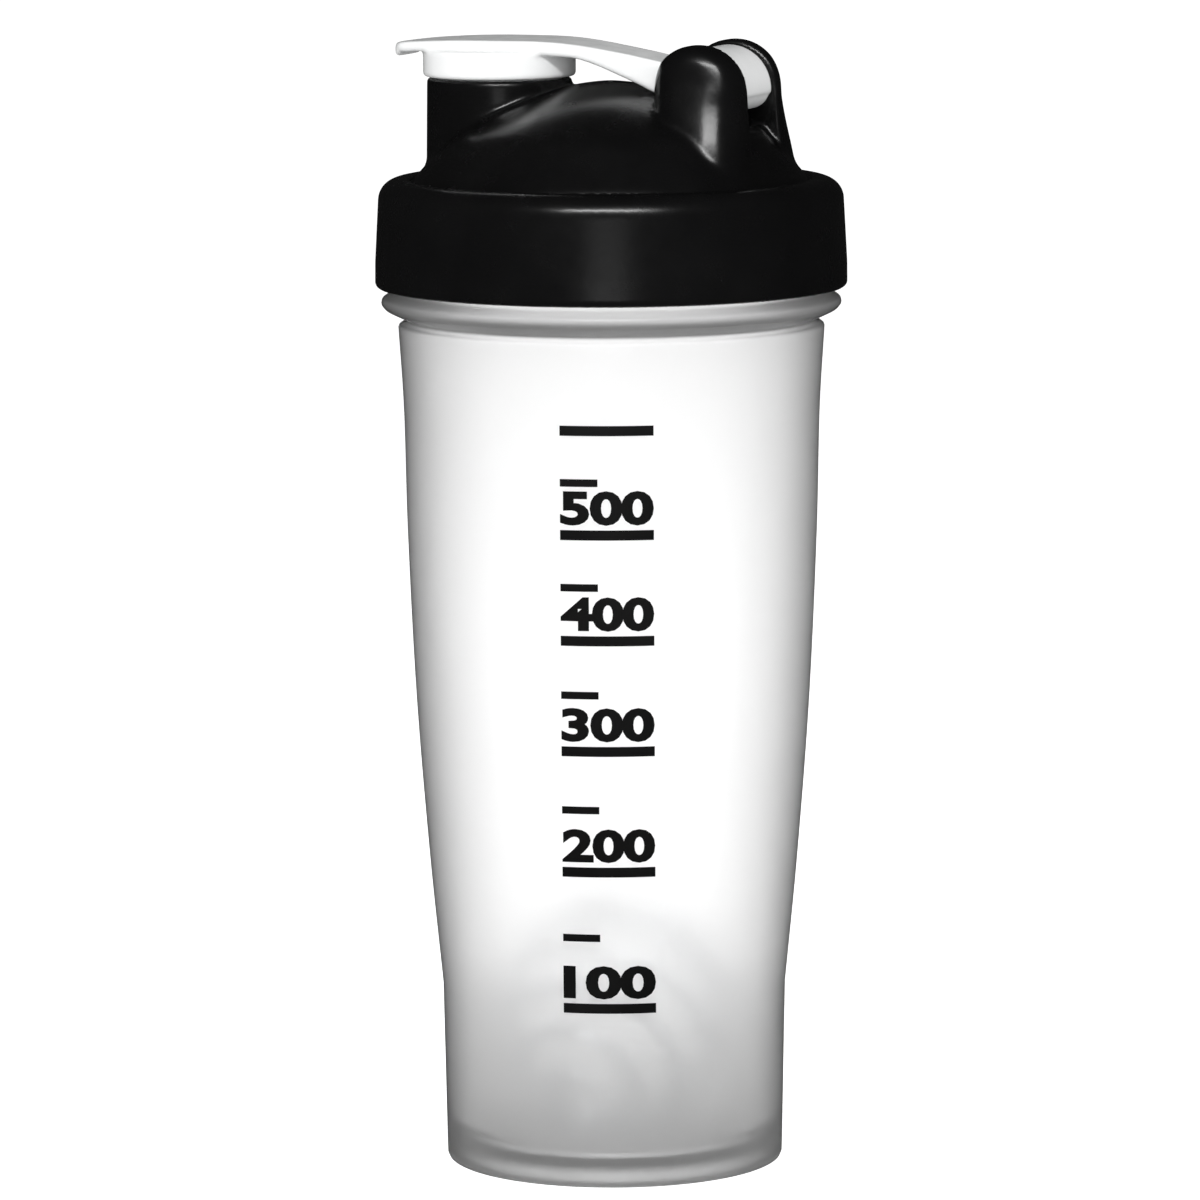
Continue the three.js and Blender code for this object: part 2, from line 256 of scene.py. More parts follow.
def surface_of(field, low, high, pitch):
    """Vertices and quads on a field's zero surface, by surface nets, with each vertex moved on to it."""
    low, high = np.array(low, float), np.array(high, float)
    count = np.ceil((high - low) / pitch).astype(int) + 1
    axis = [low[k] + pitch * np.arange(count[k]) for k in range(3)]
    values = np.empty(count, np.float32)
    for i in range(0, count[0], 12):
        x, y, z = np.meshgrid(axis[0][i : i + 12], axis[1], axis[2], indexing="ij")
        values[i : i + 12] = field(x, y, z)
    inside = values < 0
    cells = tuple(count - 1)

    def corner(array, offset):
        return array[tuple(slice(o, o + n) for o, n in zip(offset, cells))]

    corners = list(itertools.product((0, 1), repeat=3))
    filled = sum(corner(inside, c).astype(np.uint8) for c in corners)
    active = (filled > 0) & (filled < 8)
    index = np.full(cells, -1, np.int64)
    where = np.argwhere(active)
    index[active] = np.arange(len(where))
    at = {c: values[tuple((where + c).T)].astype(float) for c in corners}
    total = np.zeros((len(where), 3))
    hits = np.zeros(len(where))
    for a, b in itertools.combinations(corners, 2):
        if sum(abs(p - q) for p, q in zip(a, b)) != 1:
            continue
        crossed = (at[a] < 0) != (at[b] < 0)
        gap = np.where(crossed, at[a] - at[b], 1.0)
        t = at[a] / gap
        point = np.array(a) + t[:, None] * (np.array(b) - np.array(a))
        total += np.where(crossed[:, None], point, 0)
        hits += crossed
    points = low + pitch * (where + total / hits[:, None])

    quads = []
    for k in range(3):
        others = [m for m in range(3) if m != k]
        first = [slice(None)] * 3
        second = [slice(None)] * 3
        first[k], second[k] = slice(0, -1), slice(1, None)
        start, end = inside[tuple(first)], inside[tuple(second)]
        edges = np.argwhere(start != end)
        ok = np.all([(edges[:, m] > 0) & (edges[:, m] < count[m] - 1) for m in others], axis=0)
        edges = edges[ok]
        steps = ((0, 0), (1, 0), (1, 1), (0, 1))
        ring = []
        for p, q in steps:
            cell = edges.copy()
            cell[:, others[0]] -= p
            cell[:, others[1]] -= q
            ring.append(index[tuple(cell.T)])
        ring = np.stack(ring, axis=1)
        outward = start[tuple(edges.T)] == (k != 1)
        ring[~outward] = ring[~outward][:, ::-1]
        quads.append(ring)
    quads = np.vstack(quads)

    nudge = 0.02
    for _ in range(3):
        x, y, z = points.T
        here = field(x, y, z)
        slope = np.stack(
            [
                field(x + nudge, y, z) - field(x - nudge, y, z),
                field(x, y + nudge, z) - field(x, y - nudge, z),
                field(x, y, z + nudge) - field(x, y, z - nudge),
            ],
            axis=1,
        ) / (2 * nudge)
        steep = np.maximum((slope ** 2).sum(1), 0.25)
        move = -(here / steep)[:, None] * slope
        length = np.maximum(np.hypot(np.hypot(move[:, 0], move[:, 1]), move[:, 2]), 1e-9)
        points += move * np.minimum(1, 0.5 * pitch / length)[:, None]
    return points, quads


# ---- meshes ----
def mesh_object(name, points_mm, faces, material, smooth_shade=True):
    mesh = bpy.data.meshes.new(name)
    mesh.from_pydata((np.array(points_mm, float) * MM).tolist(), [], [list(f) for f in faces])
    mesh.validate()
    mesh.update()
    mesh.polygons.foreach_set("use_smooth", [smooth_shade] * len(mesh.polygons))
    obj = bpy.data.objects.new(name, mesh)
    bpy.context.scene.collection.objects.link(obj)
    obj.data.materials.append(material)
    return obj


def turned_mesh(profile, segments, swell=None):
    """Points and faces of a profile of (radius, z) pairs that starts and ends on the axis, turned about Z.
    swell gives points a new radius from their radius, angle and z."""
    inner = np.array(profile[1:-1], float)
    angles = np.arange(segments) * 2 * math.pi / segments
    radius = np.repeat(inner[:, 0][:, None], segments, axis=1)
    height = np.repeat(inner[:, 1][:, None], segments, axis=1)
    around = np.repeat(angles[None, :], len(inner), axis=0)
    if swell is not None:
        radius = swell(radius, around, height)
    ring = np.stack([radius * np.cos(around), radius * np.sin(around), height], axis=2).reshape(-1, 3)
    points = np.vstack([ring, [0, 0, profile[0][1]], [0, 0, profile[-1][1]]])
    first, last = len(ring), len(ring) + 1
    faces = []
    for row in range(len(inner) - 1):
        for i in range(segments):
            j = (i + 1) % segments
            a, b = row * segments, (row + 1) * segments
            faces.append((a + i, a + j, b + j, b + i))
    top = (len(inner) - 1) * segments
    for i in range(segments):
        j = (i + 1) % segments
        faces.append((first, j, i))
        faces.append((last, top + i, top + j))
    return points, faces


def ring_mesh(section, segments):
    """Points and faces of a closed section of (radius, z) pairs, turned about Z."""
    count = len(section)
    points = []
    for i in range(segments):
        a = 2 * math.pi * i / segments
        points += [(r * math.cos(a), r * math.sin(a), z) for r, z in section]
    faces = []
    for i in range(segments):
        j = (i + 1) % segments
        for k in range(count):
            m = (k + 1) % count
            faces.append((i * count + k, j * count + k, j * count + m, i * count + m))
    return points, faces


def swept_mesh(path, radius, sides):
    """Points and faces of a round wire along a path, with a domed cap on each end."""
    path = np.array(path, float)
    tangent = np.gradient(path, axis=0)
    tangent /= np.linalg.norm(tangent, axis=1)[:, None]
    side = np.cross(tangent[0], [0.3, 0.5, 0.81])
    side /= np.linalg.norm(side)
    points = []
    for p, t in zip(path, tangent):
        side = side - t * side.dot(t)
        side /= np.linalg.norm(side)
        other = np.cross(t, side)
        for k in range(sides):
            a = 2 * math.pi * k / sides
            points.append(p + radius * (math.cos(a) * side + math.sin(a) * other))
    faces = []
    for i in range(len(path) - 1):
        for k in range(sides):
            m = (k + 1) % sides
            faces.append((i * sides + k, i * sides + m, (i + 1) * sides + m, (i + 1) * sides + k))
    start, end = len(points), len(points) + 1
    points.append(path[0] - tangent[0] * radius * 0.7)
    points.append(path[-1] + tangent[-1] * radius * 0.7)
    last = (len(path) - 1) * sides
    for k in range(sides):
        m = (k + 1) % sides
        faces.append((start, m, k))
        faces.append((end, last + k, last + m))
    return points, faces


# ---- materials ----
def new_material(name):
    mat = bpy.data.materials.new(name)
    mat.use_nodes = True
    nodes, links = mat.node_tree.nodes, mat.node_tree.links
    shader = nodes["Principled BSDF"]
    return mat, nodes, links, shader


def noise(nodes, links, scale, detail=3.0, coords=None):
    if coords is None:
        coords = nodes.new("ShaderNodeTexCoord").outputs["Object"]
    tex = nodes.new("ShaderNodeTexNoise")
    tex.inputs["Scale"].default_value = scale
    tex.inputs["Detail"].default_value = detail
    links.new(coords, tex.inputs["Vector"])
    return tex.outputs["Fac"]


def ramp(nodes, links, source, low, high, from_low=0.3, from_high=0.7):
    """A value, or a colour given as three numbers, that follows a source between two limits."""
    colour = not isinstance(low, float)
    mapped = nodes.new("ShaderNodeMapRange")
    mapped.inputs["From Min"].default_value = from_low
    mapped.inputs["From Max"].default_value = from_high
    links.new(source, mapped.inputs["Value"])
    if not colour:
        mapped.inputs["To Min"].default_value = low
        mapped.inputs["To Max"].default_value = high
        return mapped.outputs["Result"]
    mix = nodes.new("ShaderNodeMix")
    mix.data_type = "RGBA"
    mix.inputs["A"].default_value = (*low, 1)
    mix.inputs["B"].default_value = (*high, 1)
    links.new(mapped.outputs["Result"], mix.inputs["Factor"])
    return mix.outputs["Result"]


def bands(nodes, links, source, span, stops):
    """A grey that changes along a source. Each stop is a (place, grey), with places up to the span."""
    scaled = ramp(nodes, links, source, 0.0, 1.0, 0.0, span)
    node = nodes.new("ShaderNodeValToRGB")
    elements = node.color_ramp.elements
    while len(elements) < len(stops):
        elements.new(0.5)
    for element, (place, grey) in zip(elements, stops):
        element.position = place / span
    for element, (place, grey) in zip(elements, stops):
        element.color = (grey, grey, grey, 1)
    links.new(scaled, node.inputs["Fac"])
    return node.outputs["Color"]


def bump(nodes, links, height, strength, distance):
    node = nodes.new("ShaderNodeBump")
    node.inputs["Strength"].default_value = strength
    node.inputs["Distance"].default_value = distance
    links.new(height, node.inputs["Height"])
    return node.outputs["Normal"]


def moulded_plastic(
    name, dark, light, smooth_rough, worn_rough, specular=0.5, coat=0.0, peel_depth=0.12
):
    """Injection-moulded plastic: faint clouding of colour and gloss, and an orange-peel surface."""
    mat, nodes, links, shader = new_material(name)
    clouds = noise(nodes, links, 45.0)
    peel = noise(nodes, links, 900.0, 2.0)
    links.new(ramp(nodes, links, clouds, dark, light), shader.inputs["Base Color"])
    gloss_patches = noise(nodes, links, 260.0)
    links.new(ramp(nodes, links, gloss_patches, smooth_rough, worn_rough), shader.inputs["Roughness"])
    links.new(bump(nodes, links, peel, peel_depth, 0.0002), shader.inputs["Normal"])
    shader.inputs["Specular IOR Level"].default_value = specular
    shader.inputs["Coat Weight"].default_value = coat
    shader.inputs["Coat Roughness"].default_value = 0.12
    return mat


def frosted_polypropylene(name):
    """The cup's wall: light passes softly blurred and is absorbed along its way through the plastic. Its
    colour also carries painted shade by height: greyer towards the foot and in a band under the collar bead."""
    mat, nodes, links, shader = new_material(name)
    nodes.remove(shader)
    out = nodes["Material Output"]
    mist = noise(nodes, links, 700.0, 2.0)
    normal = bump(nodes, links, mist, 0.08, 0.0002)
    through = nodes.new("ShaderNodeBsdfRefraction")
    height = nodes.new("ShaderNodeSeparateXYZ")
    links.new(nodes.new("ShaderNodeTexCoord").outputs["Object"], height.inputs["Vector"])
    # These greys by height are painted shade: darker towards the foot, and a dark band under the collar bead
    # where the groove is in shade.
    foot, lower_wall, wall, collar = 0.66, 0.77, 1.0, 0.68
    painted_shade_stops = [
        (0.0005, foot),
        (0.006, lower_wall),
        (0.046, wall),
        (0.1708, wall),
        (0.1722, collar),
        (0.1745, collar),
        (0.1755, wall),
    ]
    painted_shade_tint = bands(nodes, links, height.outputs["Z"], RIM_Z * MM, painted_shade_stops)
    links.new(painted_shade_tint, through.inputs["Color"])
    through.inputs["IOR"].default_value = 1.3
    links.new(ramp(nodes, links, mist, 0.5, 0.58), through.inputs["Roughness"])
    milk = nodes.new("ShaderNodeBsdfTranslucent")
    matt = nodes.new("ShaderNodeBsdfDiffuse")
    # The same painted shade, a little dimmer, for the milky and matt parts.
    painted_shade_stops_dimmer = [(z, 0.92 * grey) for z, grey in painted_shade_stops]
    painted_shade_milk = bands(nodes, links, height.outputs["Z"], RIM_Z * MM, painted_shade_stops_dimmer)
    links.new(painted_shade_milk, milk.inputs["Color"])
    links.new(painted_shade_milk, matt.inputs["Color"])
    glow = nodes.new("ShaderNodeMixShader")
    glow.inputs["Fac"].default_value = 0.45
    links.new(milk.outputs["BSDF"], glow.inputs[1])
    links.new(matt.outputs["BSDF"], glow.inputs[2])
    body = nodes.new("ShaderNodeMixShader")
    clouds = noise(nodes, links, 30.0)
    links.new(ramp(nodes, links, clouds, 0.2, 0.25), body.inputs["Fac"])
    links.new(through.outputs["BSDF"], body.inputs[1])
    links.new(glow.outputs["Shader"], body.inputs[2])
    gloss = nodes.new("ShaderNodeBsdfAnisotropic")
    gloss.inputs["Roughness"].default_value = 0.22
    links.new(normal, gloss.inputs["Normal"])
    mirror = nodes.new("ShaderNodeFresnel")
    mirror.inputs["IOR"].default_value = 1.34
    surface = nodes.new("ShaderNodeMixShader")
    links.new(mirror.outputs["Fac"], surface.inputs["Fac"])
    links.new(body.outputs["Shader"], surface.inputs[1])
    links.new(gloss.outputs["BSDF"], surface.inputs[2])
    clear = nodes.new("ShaderNodeBsdfTransparent")
    clear.inputs["Color"].default_value = (0.8, 0.8, 0.8, 1)
    path = nodes.new("ShaderNodeLightPath")
    lit = nodes.new("ShaderNodeMixShader")
    links.new(path.outputs["Is Shadow Ray"], lit.inputs["Fac"])
    links.new(surface.outputs["Shader"], lit.inputs[1])
    links.new(clear.outputs["BSDF"], lit.inputs[2])
    links.new(lit.outputs["Shader"], out.inputs["Surface"])
    grey = nodes.new("ShaderNodeVolumeAbsorption")
    grey.inputs["Color"].default_value = (0, 0, 0, 1)
    grey.inputs["Density"].default_value = 21.0
    links.new(grey.outputs["Volume"], out.inputs["Volume"])
    return mat


def steel_wire(name):
    mat, nodes, links, shader = new_material(name)
    shader.inputs["Metallic"].default_value = 1.0
    streaks = noise(nodes, links, 400.0)
    links.new(ramp(nodes, links, streaks, (0.55, 0.56, 0.57), (0.68, 0.69, 0.7)), shader.inputs["Base Color"])
    links.new(ramp(nodes, links, streaks, 0.16, 0.3), shader.inputs["Roughness"])
    links.new(bump(nodes, links, streaks, 0.1, 0.0001), shader.inputs["Normal"])
    return mat


black = moulded_plastic(
    "black_moulded", (0.0024, 0.0024, 0.0025), (0.004, 0.004, 0.0041), 0.23, 0.28, 0.35, peel_depth=0.06
)
white = moulded_plastic("white_moulded", (0.80, 0.81, 0.81), (0.86, 0.865, 0.865), 0.2, 0.27, 0.5, 0.2)
silicone = moulded_plastic("silicone", (0.62, 0.63, 0.62), (0.7, 0.71, 0.7), 0.5, 0.6)
ink = moulded_plastic("black_ink", (0.003, 0.003, 0.003), (0.006, 0.006, 0.006), 0.4, 0.5, 0.12)
frosted = frosted_polypropylene("frosted_polypropylene")
steel = steel_wire("stainless_wire")


# ---- cup ----
OUTER_WALL = smooth(
    [(34.8, 36), (37.4, 63), (39.8, 95), (41.3, 128), (41.9, 153), (SHOULDER_RADIUS, SHOULDER_Z - 0.5)], 12
)
INNER_WALL = smooth([(NECK_INNER, RIM_Z - 1.0), (39.3, 153), (39.0, 128), (37.5, 95), (32.4, 36)], 12)


def cup_profile():
    foot_inner = FOOT_RADIUS - 4.4
    waist = [(FOOT_RADIUS + 0.7 * z / 36, z) for z in np.linspace(3, 33, 9)]
    bead_low = smooth([(41.5, SHOULDER_Z + 1.2), (43.6, 172.7), (45.4, 173.6), (46.2, BEAD_Z - 0.4)], 5)
    bead_high = smooth(
        [(BEAD_RADIUS, BEAD_Z), (46.0, 175.8), (44.6, 176.6), (43.2, 177.2), (NECK_OUTER, 178.0)], 5
    )
    neck = [(NECK_OUTER, z) for z in np.arange(178.3, RIM_Z - 0.9, 0.33)]
    return [
        (0, FOOT_RECESS),
        (12, FOOT_RECESS),
        (22, FOOT_RECESS),
        *smooth([(foot_inner - 3, FOOT_RECESS), (foot_inner - 1.2, 2.7), (foot_inner - 0.3, 0.7)], 4),
        *smooth(
            [
                (foot_inner + 0.3, 0.05),
                (foot_inner + 0.9, 0),
                (FOOT_RADIUS - 1.0, 0),
                (FOOT_RADIUS - 0.3, 0.3),
            ],
            4,
        ),
        (FOOT_RADIUS, 1.0),
        *waist,
        *OUTER_WALL,
        (SHOULDER_RADIUS - 0.15, SHOULDER_Z - 0.1),
        (SHOULDER_RADIUS - 0.6, SHOULDER_Z + 0.2),
        (GROOVE_RADIUS, SHOULDER_Z + 0.6),
        *bead_low,
        *bead_high,
        *neck,
        *arc(NECK_OUTER - 0.8, RIM_Z - 0.8, 0.8, 0, 90, 5),
        *arc(NECK_INNER + 0.8, RIM_Z - 0.8, 0.8, 90, 180, 5),
        *INNER_WALL,
        *[(31.7 + 0.7 * (z - 9) / 27, z) for z in np.linspace(33, 10, 8)],
        *arc(27.7, FLOOR_TOP + 4, 4.0, 0, -90, 8),
        (18, FLOOR_TOP),
        (8, FLOOR_TOP),
        (0, FLOOR_TOP),
    ]


def neck_thread(radius, around, height):
    """Lifts the neck's surface into a round-backed ridge along the helix."""
    new = radius.copy()
    outside = radius > NECK_OUTER - 0.01
    for turn in range(2):
        run = around + 2 * math.pi * turn
        share = run / (2 * math.pi * THREAD_TURNS)
        away = height - (THREAD_START_Z + THREAD_LEAD * run / (2 * math.pi))
        back = THREAD_BEAD ** 2 - away ** 2
        lift = np.where((share <= 1) & (back > 0), np.sqrt(np.maximum(back, 0)) + 0.1, 0)
        lifted = NECK_OUTER + lift * thread_taper(np.clip(share, 0, 1))
        ridge = outside & (height > 178.2) & (height < RIM_Z - 0.9)
        new = np.where(ridge, np.maximum(new, lifted), new)
    return new


points, faces = turned_mesh(cup_profile(), 240, neck_thread)
cup = mesh_object("frosted_cup", points, faces, frosted)
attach(cup, "cup")
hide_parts("cup")


# ---- lid ----
def lid_section():
    draft = [(LID_RADIUS - 0.03, 183.0), (LID_TOP_RADIUS + 0.3, 190.0)]
    bore = DOME_RADIUS - DOME_WALL
    return Profile(
        [
            *dome_curve(0, 160)[::-1],
            (DOME_RADIUS + 0.05, DOME_BASE_Z - 0.4),
            (DOME_RADIUS + 0.45, DOME_BASE_Z - 0.3),
            *arc(DOME_RADIUS + 1.5, LID_TOP_Z - 0.9, 0.9, 165, 90, 8),
            *arc(LID_TOP_RADIUS - LID_CORNER, LID_TOP_Z - LID_CORNER, LID_CORNER, 90, 0, 28),
            *draft[::-1],
            *arc(LID_RADIUS - 1.1, LID_BOTTOM_Z + 1.1, 1.1, 0, -90, 8),
            *arc(LID_BORE + 0.7, LID_BOTTOM_Z + 0.7, 0.7, -90, -180, 6),
            *arc(LID_BORE - 0.6, LID_CEILING_Z - 0.6, 0.6, 0, 90, 5),
            (PLUG_RING_OUTER, LID_CEILING_Z),
            (PLUG_RING_OUTER, PLUG_RING_BOTTOM_Z + 1.2),
            (PLUG_RING_OUTER - 0.6, PLUG_RING_BOTTOM_Z),
            (bore + 0.6, PLUG_RING_BOTTOM_Z),
            (bore, PLUG_RING_BOTTOM_Z + 0.6),
            *dome_curve(-DOME_WALL, 120),
        ]
    )


LID_SECTION = lid_section()
DOME_OUTSIDE = Profile([(0, DOME_BASE_Z - 12), (DOME_RADIUS, DOME_BASE_Z - 12), *dome_curve(0, 160)])
DOME_INSIDE = Profile(
    [(0, LID_BOTTOM_Z - 2), (DOME_RADIUS - DOME_WALL, LID_BOTTOM_Z - 2), *dome_curve(-DOME_WALL, 160)]
)
EAR_ARCH = Profile(
    [
        (HINGE_X - EAR_RADIUS, DOME_BASE_Z - 8),
        (HINGE_X + EAR_RADIUS + 4.6, DOME_BASE_Z - 8),
        *smooth(
            [
                (HINGE_X + EAR_RADIUS + 2.3, 201),
                (HINGE_X + EAR_RADIUS + 1.3, 205.6),
                (HINGE_X + EAR_RADIUS + 0.6, 210),
                (HINGE_X + EAR_RADIUS + 0.2, 214),
            ],
            6,
        ),
        *arc(HINGE_X, HINGE_Z, EAR_RADIUS, 0, 180, 48),
    ]
)
EAR_SWELL = Profile(
    [
        (0, DOME_BASE_Z - 8),
        (22.8, DOME_BASE_Z - 8),
        *smooth(
            [
                (22.8, 200),
                (22.3, 203),
                (21.5, 205.7),
                (20.7, 208),
                (19.5, 211.2),
                (18.4, 214.5),
                (17.4, 218),
                (16.7, 221),
                (16.2, 225),
                (16.0, 231),
            ],
            8,
        ),
        (0, 231),
    ]
)
EAR_FOOT = Profile(
    [
        (12.8, -5),
        (38, -5),
        *smooth(
            [
                (37.5, 8),
                (37.3, 11),
                (36.2, 14.5),
                (34, 18.6),
                (30.5, 21.6),
                (26.5, 22.7),
                (22, 22.0),
                (17.8, 20.2),
                (14.4, 17.5),
                (12.8, 13.5),
                (12.8, 8),
            ],
            8,
        ),
    ]
)


def lid_field(x, y, z):
    r = np.hypot(x, y)
    across = np.abs(y)
    from_hinge = np.hypot(x - HINGE_X, z - HINGE_Z)
    from_spout = np.hypot(x - SPOUT_X, y)
    outside_dome = -DOME_INSIDE(r, z)
    body = LID_SECTION(r, z)
    spout_side = from_spout - SPOUT_RADIUS - 0.012 * (SPOUT_TOP_Z - z)
    spout = meet(spout_side, z - SPOUT_TOP_Z, 0.9)
    spout = np.maximum(spout, DOME_BASE_Z - 2 - z)
    body = join(body, np.maximum(spout, outside_dome), 1.4)
    rounding = 4.5 + 2.5 * np.clip((224 - z) / 8, 0, 1)
    bulge = EAR_BULGE * (x - HINGE_X) ** 2
    lobe = meet(EAR_ARCH(x, z), EAR_SWELL(across + bulge, z), rounding)
    lobe = meet(lobe, EAR_FOOT(x, across) - 0.4, 4.0)
    lobe = meet(lobe, r - DOME_RADIUS + 0.1, 1.2)
    lobe = meet(lobe, EAR_INNER_Y - across, 0.8)
    lobe = np.maximum(lobe, outside_dome)
    body = join(body, lobe, 0.8)
    under_saddle = np.maximum(from_hinge - SADDLE_RADIUS - SADDLE_WALL, across - EAR_INNER_Y - 1)
    body = join(body, np.maximum(under_saddle, DOME_OUTSIDE(r, z)), 0.8)
    body = cut(body, np.maximum(from_hinge - SADDLE_RADIUS, across - EAR_INNER_Y), 0.6)
    body = cut(body, np.maximum(from_hinge - STUB_RADIUS - 0.15, across - EAR_INNER_Y - 2.5), 0.3)
    bore = np.maximum(from_spout - SPOUT_BORE, DOME_BASE_Z - 4 - z)
    body = cut(body, bore, 0.9)
    start_angle = math.pi * 0.85
    start_z = THREAD_START_Z - THREAD_LEAD / 2 + THREAD_LEAD * start_angle / (2 * math.pi)
    away, share = thread_distance(x, y, z, LID_BORE - 0.1, start_z, start_angle)
    return join(body, away - THREAD_BEAD * thread_taper(share), 0.5)


points, faces = surface_of(lid_field, lid_low - FIELD_MARGIN, lid_high + FIELD_MARGIN, LID_PITCH)
lid = mesh_object("black_lid", points, faces, black)
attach(lid, "lid")
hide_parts("lid")


# ---- flip cap ----
CAP_SIDE = Profile(
    [
        (CAP_TIP_X + 0.4, 223.9),
        (CAP_TIP_X + 1.7, 223.7),
        (CAP_TIP_X + 2.9, 224.7),
        *smooth(
            [
                (-38.8, 225.0),
                (-31, 225.3),
                (-20, 225.3),
                (-9.5, 224.5),
                (-2.8, 223.6),
                (7, 219.7),
                (12.3, 217.2),
            ],
            8,
        ),
        (HINGE_X - 6, 214.5),
        (HINGE_X, 214.5),
        (HINGE_X, 224.0),
        *smooth(
            [
                (HINGE_X - 4.5, 224.4),
                (14.6, 223.6),
                (10, 224.3),
                (5.9, 225.1),
                (-3.9, 226.7),
                (-11.6, CAP_TOP_Z - 0.1),
                (-21, CAP_TOP_Z),
                (-30.1, CAP_TOP_Z - 0.1),
                (-38.8, 227.0),
                (CAP_TIP_X + 0.8, 226.5),
            ],
            8,
        ),
        (CAP_TIP_X, 225.6),
    ]
)
plan_edge = smooth(
    [
        (CAP_TIP_X, 0),
        (CAP_TIP_X + 0.4, 3.2),
        (CAP_TIP_X + 1.6, 6.2),
        (CAP_TIP_X + 4.2, 8.6),
        (-34, 10.6),
        (-24, 11.4),
        (-13.7, 10.6),
        (-3.4, 8.7),
        (7, 7.9),
        (HINGE_X, 8.0),
    ],
    10,
)
CAP_PLAN = Profile(plan_edge + [(x, -y) for x, y in plan_edge[:0:-1]])
POCKET_SIDE = Profile(
    [
        (-5.5, 212),
        (12.5, 212),
        (12.5, 221.4),
        *smooth([(10, 222.0), (5, 223.1), (-1, 224.2), (-5.5, 224.8)], 6),
    ]
)
KNUCKLE_SIDE = Profile(
    [
        *arc(HINGE_X + 4.3, HINGE_Z + 0.3, KNUCKLE_RADIUS - 4.6, -80, -20, 6),
        *arc(HINGE_X, HINGE_Z, KNUCKLE_RADIUS, -3, 183, 64),
        *arc(HINGE_X - 4.3, HINGE_Z + 0.3, KNUCKLE_RADIUS - 4.6, 200, 260, 6),
    ]
)


def cap_field(x, y, z):
    r = np.hypot(x, y)
    across = np.abs(y)
    from_spout = np.hypot(x - SPOUT_X, y)
    from_hinge = np.hypot(x - HINGE_X, z - HINGE_Z)
    arm = meet(CAP_SIDE(x, z), CAP_PLAN(x, y), 1.1)
    pocket = meet(POCKET_SIDE(x, z), across - 5.9, 1.0)
    arm = cut(arm, pocket, 0.6)
    arm = cut(arm, DOME_OUTSIDE(r, z) - 0.6, 0.4)
    disc_low = SPOUT_TOP_Z + 0.3
    disc = meet(from_spout - CAP_DISC_RADIUS, slab(z, disc_low, CAP_DISC_TOP_Z), 1.0)
    body = join(arm, disc, 1.0)
    plug_low = CAP_PLUG_LOW_Z
    plug_side = from_spout - (SPOUT_BORE - 0.3) + 0.5 * np.maximum(plug_low + 1.2 - z, 0)
    plug = meet(plug_side, slab(z, plug_low, disc_low + 1), 0.6)
    body = join(body, plug, 0.4)
    body = cut(body, meet(from_spout - 10.6, slab(z, plug_low - 5, disc_low + 1.6), 1.0), 0.6)
    knuckle = meet(KNUCKLE_SIDE(x, z), across - EAR_INNER_Y + 0.3, 0.9)
    body = join(body, knuckle, 2.2)
    body = np.maximum(body, np.minimum(across - EAR_INNER_Y + 0.3, x - HINGE_X + 14))
    stub = meet(from_hinge - STUB_RADIUS, across - EAR_INNER_Y - 2.2, 0.5)
    return join(body, stub, 0.3)


points, faces = surface_of(cap_field, cap_low - FIELD_MARGIN, cap_high + FIELD_MARGIN, CAP_PITCH)
cap = mesh_object("white_flip_cap", points, faces, white)
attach(cap, "flip_cap")
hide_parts("flip_cap")


# ---- sealing ring ----
def seal_section():
    low, high = seal_low[2], seal_high[2]
    outer = seal_high[0]
    inner = PLUG_RING_OUTER + 0.3
    r = 0.5
    return [
        *arc(outer - r, low + r, r, -90, 0, 4),
        *arc(outer - r, high - r, r, 0, 90, 4),
        *arc(inner + r, high - r, r, 90, 180, 4),
        *arc(inner + r, low + r, r, 180, 270, 4),
    ]


points, faces = ring_mesh(seal_section(), 192)
seal = mesh_object("seal_ring", points, faces, silicone)
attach(seal, "lid_seal")
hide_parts("lid_seal")


# ---- whisk ball ----
def ball_path():
    """One wire wound from pole to pole on a sphere, tilted as it lies in the cup."""
    tilt_x, tilt_y = BALL_TILT
    turn_x = np.array(
        [[1, 0, 0], [0, math.cos(tilt_x), -math.sin(tilt_x)], [0, math.sin(tilt_x), math.cos(tilt_x)]]
    )
    turn_y = np.array(
        [[math.cos(tilt_y), 0, math.sin(tilt_y)], [0, 1, 0], [-math.sin(tilt_y), 0, math.cos(tilt_y)]]
    )
    centre = np.array([0, 0, FLOOR_TOP + 0.3 + BALL_RADIUS])
    radius = BALL_RADIUS - BALL_WIRE
    out = []
    for t in np.linspace(0, 1, 110 * BALL_TURNS + 1):
        pole, around = math.pi * (0.05 + 0.9 * t), 2 * math.pi * BALL_TURNS * t
        local = np.array(
            [
                radius * math.sin(pole) * math.sin(around),
                radius * math.cos(pole),
                radius * math.sin(pole) * math.cos(around),
            ]
        )
        out.append(centre + turn_x @ turn_y @ local)
    return out


points, faces = swept_mesh(ball_path(), BALL_WIRE, 14)
ball = mesh_object("wire_whisk_ball", points, faces, steel)
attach(ball, "whisk_ball")
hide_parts("whisk_ball")


# ---- printed scale ----
VIEW_AZIMUTH = 20.0
SCALE_TURN = -1.5
SCALE_WIDTH = 18.6
INK_HEIGHT = 0.06


def outer_radius(z):
    wall = np.array([(FOOT_RADIUS, 1.0), (34.75, 34.0)] + OUTER_WALL)
    return np.interp(z, wall[:, 1], wall[:, 0])


def level_of(volume_ml):
    """Height of the drink's surface for a volume."""
    wall = np.array([(27.7, FLOOR_TOP), (31.7, FLOOR_TOP + 4)] + [(p[0], p[1]) for p in INNER_WALL[::-1]])
    z = np.linspace(FLOOR_TOP, RIM_Z, 800)
    r = np.interp(z, wall[:, 1], wall[:, 0])
    filled = np.concatenate([[0], np.cumsum(math.pi * ((r[1:] + r[:-1]) / 2) ** 2 * np.diff(z))]) / 1000
    return float(np.interp(volume_ml, filled, z))


